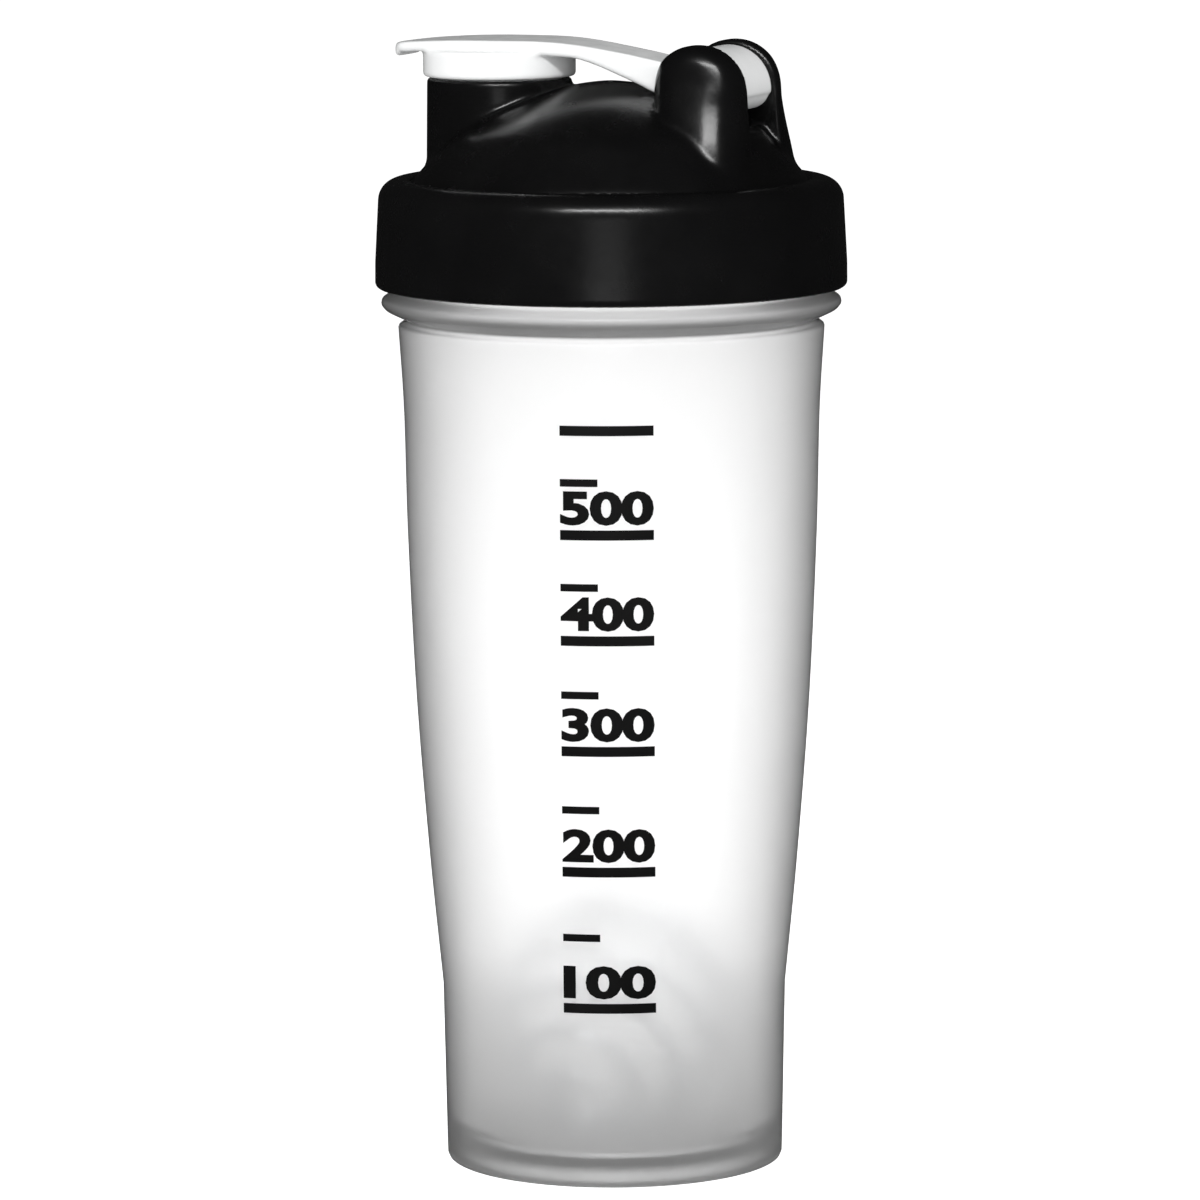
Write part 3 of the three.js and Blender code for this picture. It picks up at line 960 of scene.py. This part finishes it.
def numeral_outline(text, height):
    """Faces of a number in the plane, subdivided so that they can bend, with its left end at 0."""
    curve = bpy.data.curves.new("numeral", "FONT")
    curve.body = text
    curve.size = height / 0.7
    curve.offset = 0.06 * height
    curve.resolution_u = 4
    obj = bpy.data.objects.new("numeral", curve)
    bpy.context.scene.collection.objects.link(obj)
    bpy.context.view_layer.update()
    mesh = bpy.data.meshes.new_from_object(obj)
    bpy.data.objects.remove(obj)
    bm = bmesh.new()
    bm.from_mesh(mesh)
    bmesh.ops.triangulate(bm, faces=bm.faces)
    for _ in range(4):
        long = [e for e in bm.edges if e.calc_length() > 0.9]
        if not long:
            break
        bmesh.ops.subdivide_edges(bm, edges=long, cuts=1)
        bmesh.ops.triangulate(bm, faces=bm.faces)
    points = [tuple(v.co) for v in bm.verts]
    faces = [[v.index for v in f.verts] for f in bm.faces]
    bm.free()
    left = min(p[0] for p in points)
    return [(p[0] - left, p[1]) for p in points], faces


def bar_outline(left, low, width, height):
    columns = max(2, math.ceil(width / 0.9))
    points = []
    for k in range(columns + 1):
        u = left + width * k / columns
        points += [(u, low), (u, low + height)]
    faces = [[2 * k, 2 * k + 2, 2 * k + 3, 2 * k + 1] for k in range(columns)]
    return points, faces


def scale_marks():
    """Every mark of the scale, as flat outlines of (across, z)."""
    marks = []
    half = SCALE_WIDTH / 2
    for volume in range(100, 601, 50):
        z = level_of(volume)
        if volume % 100:
            marks.append(bar_outline(-half, z - 0.75, 7.5, 1.5))
            continue
        marks.append(bar_outline(-half, z - 1, SCALE_WIDTH, 2))
        if volume < 600:
            points, faces = numeral_outline(str(volume), 6.1)
            stretch = SCALE_WIDTH / max(u for u, v in points)
            marks.append(([(u * stretch - half, v + z + 2.4) for u, v in points], faces))
    return marks


def printed_scale():
    points, faces = [], []
    middle = math.radians(VIEW_AZIMUTH + SCALE_TURN - 90)
    for outline, outline_faces in scale_marks():
        start = len(points)
        for lift in (INK_HEIGHT, -INK_HEIGHT):
            for u, z in outline:
                radius = outer_radius(z)
                angle = middle + u / radius
                radius += lift
                points.append((radius * math.cos(angle), radius * math.sin(angle), z))
        count = len(outline)
        edges = {}
        for f in outline_faces:
            faces.append([start + i for i in f])
            faces.append([start + count + i for i in reversed(f)])
            for a, b in zip(f, f[1:] + f[:1]):
                edges[(a, b)] = True
        for a, b in edges:
            if (b, a) not in edges:
                faces.append([start + b, start + a, start + count + a, start + count + b])
    return mesh_object("printed_scale", points, faces, ink, smooth_shade=False)


scale = printed_scale()
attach(scale, "cup")


# ---- floor, light and camera ----
def studio_floor():
    mesh = bpy.data.meshes.new("studio_floor")
    half = 6.0
    corners = [(-half, -half, 0), (half, -half, 0), (half, half, 0), (-half, half, 0)]
    mesh.from_pydata(corners, [], [(0, 1, 2, 3)])
    obj = bpy.data.objects.new("studio_floor", mesh)
    bpy.context.scene.collection.objects.link(obj)
    mat, nodes, links, shader = new_material("studio_paper")
    links.new(ramp(nodes, links, noise(nodes, links, 3.0), (0.93, 0.93, 0.93), (0.95, 0.95, 0.95)),
              shader.inputs["Base Color"])
    shader.inputs["Roughness"].default_value = 0.9
    shader.inputs["Specular IOR Level"].default_value = 0.0
    shader.inputs["Emission Color"].default_value = (1, 1, 1, 1)
    path = nodes.new("ShaderNodeLightPath")
    seen = ramp(nodes, links, path.outputs["Is Transmission Ray"], 0.62, 0.8, 0.0, 1.0)
    glow = nodes.new("ShaderNodeMath")
    glow.operation = "MULTIPLY"
    links.new(seen, glow.inputs[0])
    links.new(ramp(nodes, links, path.outputs["Is Diffuse Ray"], 1.0, 0.0, 0.0, 1.0), glow.inputs[1])
    links.new(glow.outputs["Value"], shader.inputs["Emission Strength"])
    obj.data.materials.append(mat)
    obj.visible_glossy = False


def studio_world():
    """White behind the object, a little darker through it, dim on matt surfaces and near black in gloss."""
    world = bpy.data.worlds.new("studio")
    bpy.context.scene.world = world
    world.use_nodes = True
    nodes, links = world.node_tree.nodes, world.node_tree.links
    out = nodes["World Output"]
    path = nodes.new("ShaderNodeLightPath")

    def shade(value):
        node = nodes.new("ShaderNodeBackground")
        node.inputs["Color"].default_value = (value, value, value, 1)
        return node.outputs["Background"]

    def choose(test, no, yes):
        node = nodes.new("ShaderNodeMixShader")
        links.new(path.outputs[test], node.inputs["Fac"])
        links.new(no, node.inputs[1])
        links.new(yes, node.inputs[2])
        return node.outputs["Shader"]

    mirrored_or_not = choose("Is Glossy Ray", shade(0.5), shade(0.012))
    through_or_not = choose("Is Transmission Ray", mirrored_or_not, shade(1.12))
    links.new(choose("Is Camera Ray", through_or_not, shade(1.4)), out.inputs["Surface"])


def area_light(name, azimuth, elevation, distance, width, height, watts, target_z, mirrored=True):
    light = bpy.data.lights.new(name, "AREA")
    light.shape = "RECTANGLE"
    light.size, light.size_y = width, height
    light.energy = watts
    obj = bpy.data.objects.new(name, light)
    a, e = math.radians(azimuth), math.radians(elevation)
    toward = np.array([math.sin(a) * math.cos(e), -math.cos(a) * math.cos(e), math.sin(e)])
    obj.location = toward * distance + np.array([0, 0, target_z])
    obj.rotation_euler = Vector(toward).to_track_quat("Z", "Y").to_euler()
    obj.visible_glossy = mirrored
    bpy.context.scene.collection.objects.link(obj)


def camera():
    data = bpy.data.cameras.new("camera")
    data.sensor_width = 36.0
    data.lens = 219.3
    data.clip_end = 100.0
    obj = bpy.data.objects.new("camera", data)
    bpy.context.scene.collection.objects.link(obj)
    a = math.radians(VIEW_AZIMUTH)
    distance, height = 1.466, 0.316
    tilt, yaw, roll = (math.radians(turn) for turn in (7.84, 0.10, -0.256))
    obj.location = (math.sin(a) * distance, -math.cos(a) * distance, height)
    look = Euler((math.pi / 2 - tilt, 0, a + yaw), "XYZ").to_matrix()
    obj.rotation_euler = (look @ Matrix.Rotation(roll, 3, "Z")).to_euler()
    bpy.context.scene.camera = obj


studio_floor()
studio_world()
area_light("front_soft", VIEW_AZIMUTH - 4, 12, 1.7, 1.1, 1.0, 5, 0.15, mirrored=False)
area_light("front_card", VIEW_AZIMUTH - 2, -3, 1.3, 0.4, 0.3, 0.5, 0.15)
area_light("key_strip", VIEW_AZIMUTH - 2.5, 35, 1.4, 0.9, 0.14, 15, 0.2)
camera()
bpy.context.scene.view_settings.view_transform = "Standard"
